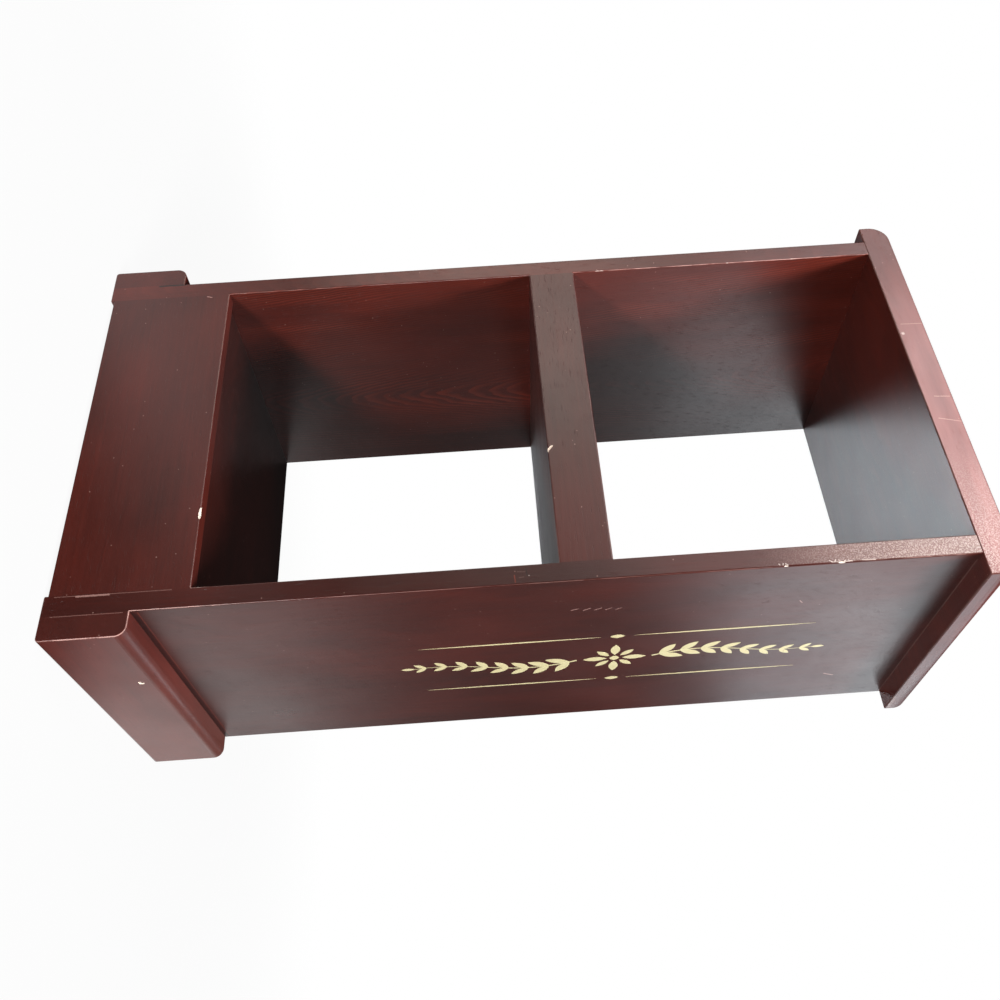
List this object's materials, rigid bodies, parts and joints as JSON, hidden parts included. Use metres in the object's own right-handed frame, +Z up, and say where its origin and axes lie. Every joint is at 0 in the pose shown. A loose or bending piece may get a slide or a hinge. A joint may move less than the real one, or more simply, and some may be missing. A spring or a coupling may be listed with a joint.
{
  "type": "bottle display shelf",
  "caption": "Open wooden bottle display: side panels with a rounded overhanging top, a thick middle shelf, a bottom shelf behind a front apron and rounded plinth blocks.",
  "frame": {"origin": "on the floor under the middle of the unit", "axes": "+Z up, -Y towards the open front, +X towards the printed right side panel"},
  "size_m": [0.274, 0.205, 0.535],
  "materials": {
    "stained_wood": "dark red-brown stain under a satin lacquer, worn pale along the arrises",
    "dowel_wood": "bare beech",
    "brad_steel": "bright drawn wire",
    "gold_print": "thin cream-gold printed ink on the right side panel"
  },
  "bodies": {
    "root": {"left_side_panel": "stained_wood", "right_side_panel": "stained_wood", "top_board": "stained_wood", "middle_shelf": "stained_wood", "bottom_shelf": "stained_wood", "front_apron": "stained_wood", "left_plinth_block": "stained_wood", "right_plinth_block": "stained_wood", "top_dowel_left_1": "dowel_wood", "top_dowel_left_2": "dowel_wood", "top_dowel_left_3": "dowel_wood", "middle_shelf_dowel_left_1": "dowel_wood", "middle_shelf_dowel_left_2": "dowel_wood", "middle_shelf_dowel_left_3": "dowel_wood", "bottom_shelf_dowel_left_1": "dowel_wood", "bottom_shelf_dowel_left_2": "dowel_wood", "bottom_shelf_dowel_left_3": "dowel_wood", "apron_dowel_left_1": "dowel_wood", "apron_dowel_left_2": "dowel_wood", "top_dowel_right_1": "dowel_wood", "top_dowel_right_2": "dowel_wood", "top_dowel_right_3": "dowel_wood", "middle_shelf_dowel_right_1": "dowel_wood", "middle_shelf_dowel_right_2": "dowel_wood", "middle_shelf_dowel_right_3": "dowel_wood", "bottom_shelf_dowel_right_1": "dowel_wood", "bottom_shelf_dowel_right_2": "dowel_wood", "bottom_shelf_dowel_right_3": "dowel_wood", "apron_dowel_right_1": "dowel_wood", "apron_dowel_right_2": "dowel_wood", "plinth_brad_left_1": "brad_steel", "plinth_brad_left_2": "brad_steel", "plinth_brad_left_3": "brad_steel", "plinth_brad_right_1": "brad_steel", "plinth_brad_right_2": "brad_steel", "plinth_brad_right_3": "brad_steel"}
  },
  "joints": []
}
